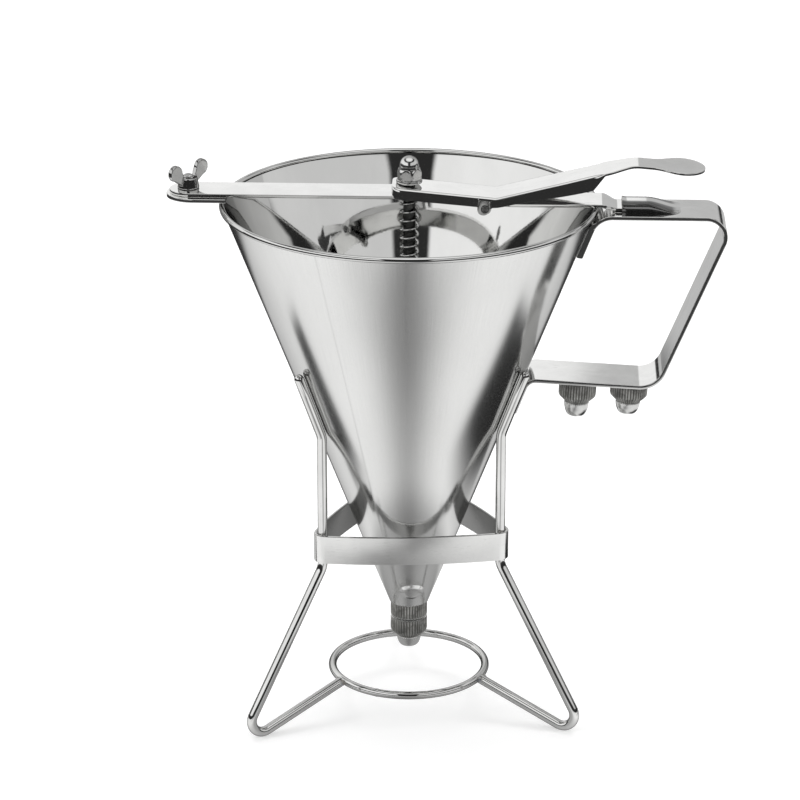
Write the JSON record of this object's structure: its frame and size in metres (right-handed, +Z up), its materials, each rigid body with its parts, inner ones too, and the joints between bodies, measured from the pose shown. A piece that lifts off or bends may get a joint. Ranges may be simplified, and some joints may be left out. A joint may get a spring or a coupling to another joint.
{
  "type": "batter dispensing funnel with stand",
  "caption": "Conical batter dispenser with a lever-worked needle valve, strip handle, spare nozzles and wire stand.",
  "frame": {"origin": "on the table under the funnel's axis", "axes": "+Z up along the funnel's axis, +X towards the handle, -Y towards the viewer"},
  "size_m": [0.28, 0.1926, 0.2956],
  "materials": {
    "cone_satin": "satin, faint turning marks round the axis",
    "bright_sheet": "polished stainless sheet",
    "bright_fastener": "polished stainless",
    "turned_steel": "turned stainless",
    "knurled_dull": "dull grey, knurled",
    "spring_wire": "drawn wire",
    "stand_sheet": "polished stainless sheet",
    "stand_wire": "polished wire"
  },
  "bodies": {
    "stand": {"stand_band": "stand_sheet", "leg_front_left": "stand_wire", "leg_front_right": "stand_wire", "leg_back": "stand_wire", "stand_ring": "stand_wire"},
    "funnel": {"funnel_cone": "cone_satin", "threaded_spout": "turned_steel", "spout_collar": "knurled_dull", "handle_strip": "bright_sheet", "spare_stud_inner": "turned_steel", "spare_stud_outer": "turned_steel", "bar_clip": "bright_sheet", "stud_lug": "bright_sheet", "clamp_stud": "bright_fastener", "cross_bar": "bright_sheet", "pivot_pin": "bright_fastener", "return_spring": "spring_wire", "spring_seat_washer": "turned_steel"},
    "lever": {"lever": "bright_sheet"},
    "valve": {"valve_rod": "turned_steel", "valve_plug": "turned_steel", "acorn_nut": "bright_fastener", "nut_washer": "bright_fastener", "spring_stop_nut": "turned_steel", "spring_lower_washer": "turned_steel"},
    "wing_nut": {"wing_nut": "bright_fastener"},
    "fitted_nozzle": {"nozzle_fitted": "knurled_dull"},
    "inner_spare": {"spare_nozzle_inner": "knurled_dull"},
    "outer_spare": {"spare_nozzle_outer": "knurled_dull"}
  },
  "joints": [
    {"name": "funnel_lift", "type": "slide", "parent": "stand", "child": "funnel", "axis": [0, 0, 1], "range_m": [0, 0.18]},
    {"name": "lever_pivot", "type": "hinge", "parent": "funnel", "child": "lever", "pos_m": [0.038, 0, 0.27178], "axis": [0, 1, 0], "range_deg": [0, 7]},
    {"name": "rod_lift", "type": "slide", "parent": "funnel", "child": "valve", "axis": [0, 0, 1], "range_m": [0, 0.006], "stiffness_N_per_m": 600, "springref_m": -0.02, "deforming": ["return_spring"]},
    {"name": "wing_nut_turn", "type": "hinge", "parent": "funnel", "child": "wing_nut", "pos_m": [-0.1105, 0, 0.28], "axis": [0, 0, 1], "continuous": true},
    {"name": "nozzle_turn", "type": "hinge", "parent": "funnel", "child": "fitted_nozzle", "pos_m": [0, 0, 0.04], "axis": [0, 0, 1], "continuous": true},
    {"name": "inner_spare_turn", "type": "hinge", "parent": "funnel", "child": "inner_spare", "pos_m": [0.08605, 0, 0.18166], "axis": [0.0523, 0, 0.9986], "continuous": true},
    {"name": "outer_spare_turn", "type": "hinge", "parent": "funnel", "child": "outer_spare", "pos_m": [0.11201, 0, 0.1803], "axis": [0.0523, 0, 0.9986], "continuous": true}
  ],
  "couplings": [
    {"joint": "rod_lift", "follows": "lever_pivot", "m_per_rad": 0.0467}
  ]
}
